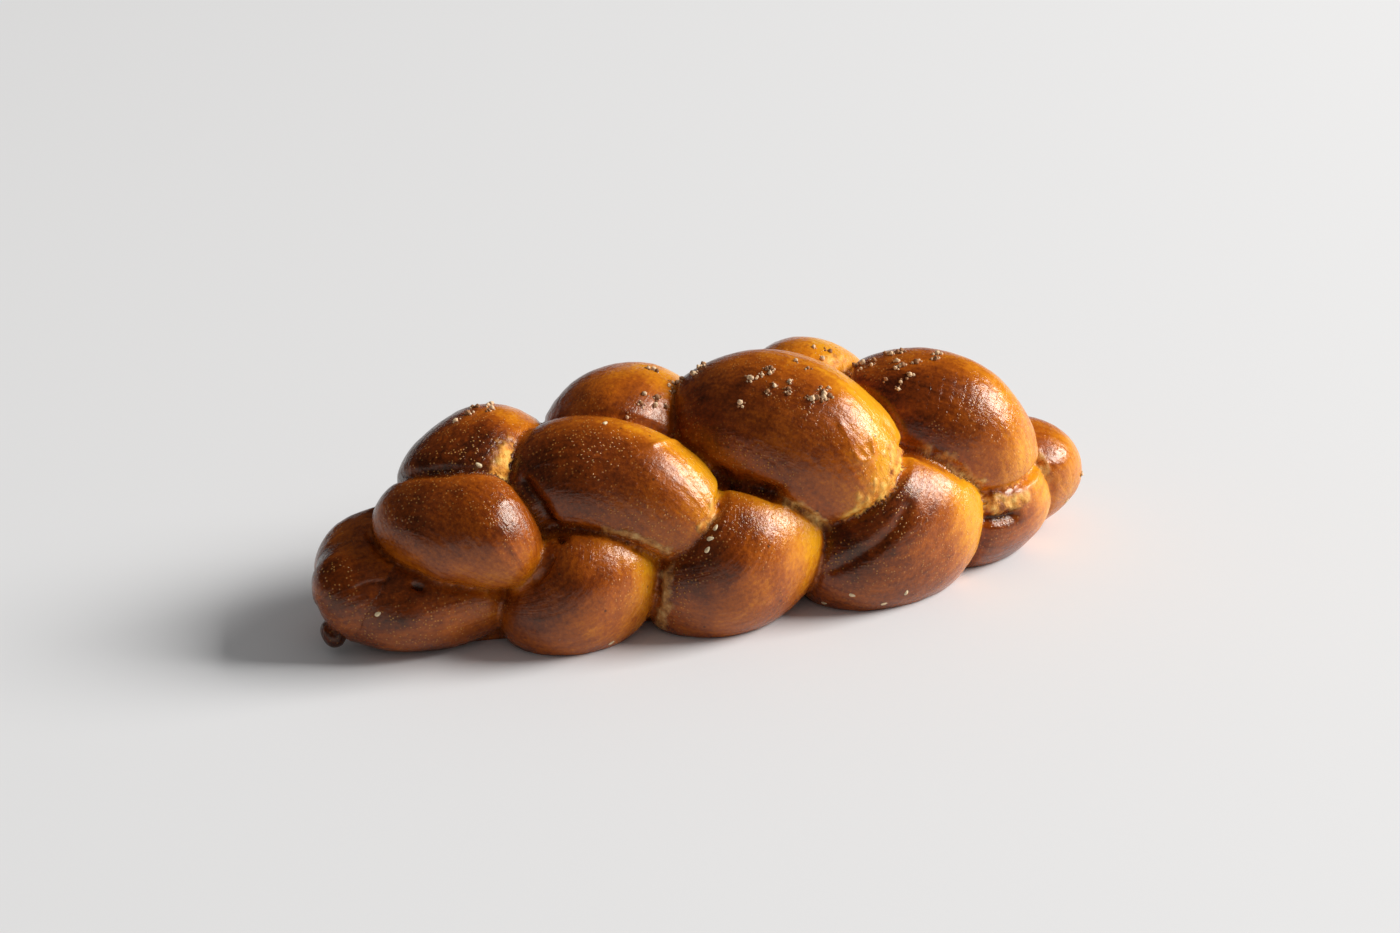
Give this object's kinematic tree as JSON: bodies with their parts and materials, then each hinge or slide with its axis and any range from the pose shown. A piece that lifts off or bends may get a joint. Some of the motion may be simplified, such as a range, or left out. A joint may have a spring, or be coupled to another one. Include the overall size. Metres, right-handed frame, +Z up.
{
  "type": "challah loaf",
  "caption": "Plaited egg bread baked as one long loaf: bulging crossed strands, glossy brown crust, flat underside, sesame seeds and crumbs on top.",
  "frame": {"origin": "middle of the loaf's box at the height of the flat underside", "axes": "+X along the loaf toward its thicker end, +Y toward the side away from the camera, +Z up"},
  "size_m": [0.3474, 0.1358, 0.1015],
  "materials": {
    "crust": "egg-washed baked crust, softly glossy"
  },
  "bodies": {
    "root": {"loaf": "crust"}
  },
  "joints": []
}
